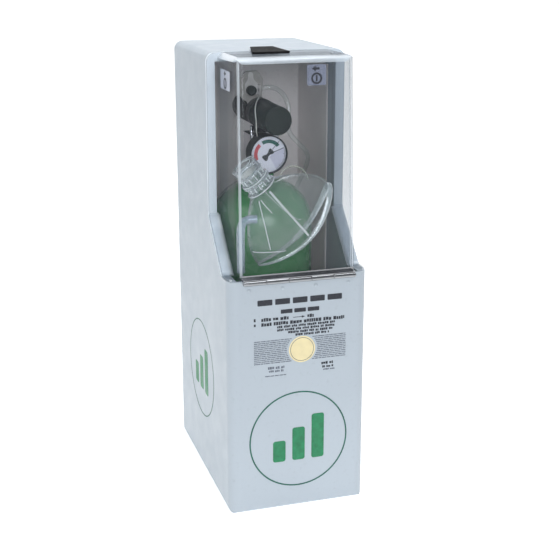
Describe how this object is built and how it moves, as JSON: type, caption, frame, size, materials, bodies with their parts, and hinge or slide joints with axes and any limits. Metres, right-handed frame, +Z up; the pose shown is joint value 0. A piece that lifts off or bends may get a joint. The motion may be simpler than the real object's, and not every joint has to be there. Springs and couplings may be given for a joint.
{
  "type": "emergency oxygen station",
  "caption": "Tall white moulded case with a clear hinged cover, holding a small green oxygen cylinder with valve, gauge, grip, lever, supply tube and face mask.",
  "frame": {"origin": "on the floor, in the middle of the overall width and depth", "axes": "+X to the right, -Y to the front where the clear cover is, +Z up"},
  "size_m": [0.152, 0.2353, 0.4852],
  "materials": {
    "white_case": "fine leather-grained moulded plastic",
    "liner_grey": "smooth satin plastic",
    "clear_plastic": "clear moulded plastic",
    "steel": "bright zinc plate",
    "chrome": "polished chrome plate",
    "brass": "machined",
    "cylinder_green": "gloss enamel",
    "black_plastic": "satin moulded plastic",
    "black_rubber": "matt",
    "dial_white": "printed dial",
    "putty_metal": "satin coated plate",
    "clear_tube": "soft clear tubing",
    "latex": "matt natural rubber"
  },
  "bodies": {
    "case": {"case_shell": "white_case", "inner_liner": "liner_grey", "back_panel": "white_case", "back_screw_1": "steel", "back_screw_2": "steel", "back_screw_3": "steel", "back_screw_4": "steel", "hinge_leaf_lower": "steel", "hinge_pin": "steel", "hinge_rivet_1": "white_case", "hinge_rivet_2": "white_case", "hinge_rivet_3": "white_case", "hinge_rivet_4": "white_case", "closure_hook_pad": "black_plastic", "cylinder_shell": "cylinder_green", "cylinder_boot": "black_rubber", "retaining_strap": "black_rubber", "strap_buckle": "black_plastic", "valve_body": "chrome", "relief_plug": "brass", "gauge_stem": "brass", "gauge_case": "black_plastic", "gauge_dial": "dial_white", "gauge_lens": "clear_plastic", "handle_bar": "steel", "grip_front": "black_rubber", "grip_rear": "black_rubber", "handle_post": "black_plastic", "lever_bracket": "putty_metal", "valve_cartridge": "brass", "outlet_barb": "brass", "feed_pipe": "chrome", "tamper_seal_wire": "latex", "supply_tube_upper": "clear_tube", "supply_tube_lower": "clear_tube", "supply_tube_coil": "clear_tube", "coil_tie": "black_plastic", "mask_dome": "clear_plastic", "mask_cushion": "clear_plastic", "mask_valve_housing": "clear_plastic", "mask_valve_disc": "latex", "mask_valve_cap": "clear_plastic", "mask_elbow": "clear_plastic", "head_strap": "latex"},
    "cover": {"clear_cover": "clear_plastic", "hinge_leaf_upper": "steel", "closure_tab_root": "black_plastic"},
    "closure_flap": {"closure_tab_flap": "black_plastic"},
    "lever": {"valve_lever": "chrome", "lever_knob": "black_plastic"},
    "gauge_pointer": {"gauge_needle": "black_plastic"}
  },
  "joints": [
    {"name": "cover_hinge", "type": "hinge", "parent": "case", "child": "cover", "pos_m": [0, -0.11515, 0.258], "axis": [1, 0, 0], "range_deg": [0, 175]},
    {"name": "tab_lift", "type": "hinge", "parent": "cover", "child": "closure_flap", "pos_m": [-0.012, -0.03255, 0.4852], "axis": [1, 0, 0], "range_deg": [0, 100]},
    {"name": "lever_turn", "type": "hinge", "parent": "case", "child": "lever", "pos_m": [-0.0194, -0.00135, 0.4386], "axis": [0, 1, 0], "range_deg": [0, 75]},
    {"name": "pointer_turn", "type": "hinge", "parent": "case", "child": "gauge_pointer", "pos_m": [-0.0137, -0.04915, 0.377], "axis": [0, 1, 0], "range_deg": [-200, 30], "stiffness_Nm_per_rad": 0.00002}
  ]
}
